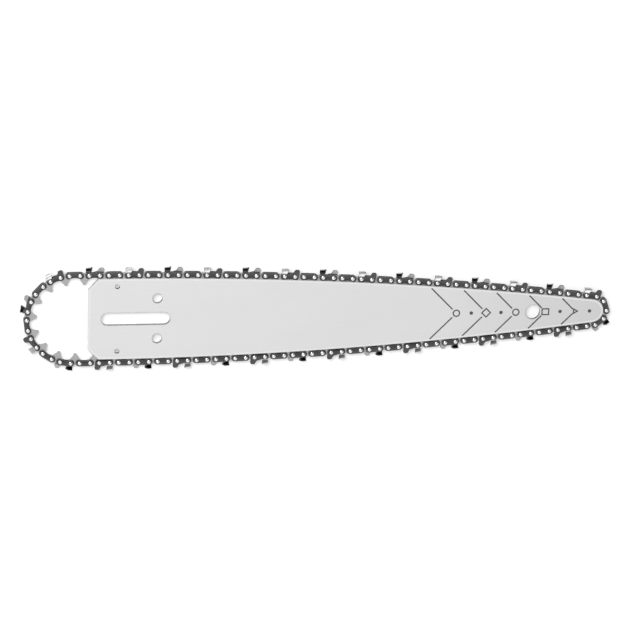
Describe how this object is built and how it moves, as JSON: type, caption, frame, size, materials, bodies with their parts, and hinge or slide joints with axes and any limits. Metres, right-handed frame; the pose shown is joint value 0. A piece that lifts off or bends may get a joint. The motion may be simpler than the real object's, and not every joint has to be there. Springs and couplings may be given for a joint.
{
  "type": "chainsaw guide bar with chain",
  "caption": "Tapered chainsaw carving bar with a narrow solid nose, stud slot, tensioner holes and tip hole, with its fine-pitch saw chain fitted round it.",
  "frame": {"origin": "middle of the stud slot, half way through the bar's thickness", "axes": "+X along the bar towards its nose, +Y across the bar towards the rail whose chain runs to the nose, +Z out of the bar's side, up as it lies"},
  "size_m": [0.3907, 0.069, 0.0048],
  "materials": {
    "bar_paint": "satin silver-grey paint",
    "plate_steel": "dark oiled steel",
    "cutter_chrome": "hard chrome, ground edges"
  },
  "bodies": {
    "root": {"guide_bar": "bar_paint", "drive_links": "plate_steel", "tie_straps": "plate_steel", "cutter_straps": "plate_steel", "left_cutter_01": "cutter_chrome", "left_cutter_02": "cutter_chrome", "left_cutter_03": "cutter_chrome", "left_cutter_04": "cutter_chrome", "left_cutter_05": "cutter_chrome", "left_cutter_06": "cutter_chrome", "left_cutter_07": "cutter_chrome", "left_cutter_08": "cutter_chrome", "left_cutter_09": "cutter_chrome", "left_cutter_10": "cutter_chrome", "left_cutter_11": "cutter_chrome", "left_cutter_12": "cutter_chrome", "left_cutter_13": "cutter_chrome", "left_cutter_14": "cutter_chrome", "left_cutter_15": "cutter_chrome", "left_cutter_16": "cutter_chrome", "right_cutter_01": "cutter_chrome", "right_cutter_02": "cutter_chrome", "right_cutter_03": "cutter_chrome", "right_cutter_04": "cutter_chrome", "right_cutter_05": "cutter_chrome", "right_cutter_06": "cutter_chrome", "right_cutter_07": "cutter_chrome", "right_cutter_08": "cutter_chrome", "right_cutter_09": "cutter_chrome", "right_cutter_10": "cutter_chrome", "right_cutter_11": "cutter_chrome", "right_cutter_12": "cutter_chrome", "right_cutter_13": "cutter_chrome", "right_cutter_14": "cutter_chrome", "right_cutter_15": "cutter_chrome", "right_cutter_16": "cutter_chrome"}
  },
  "joints": []
}
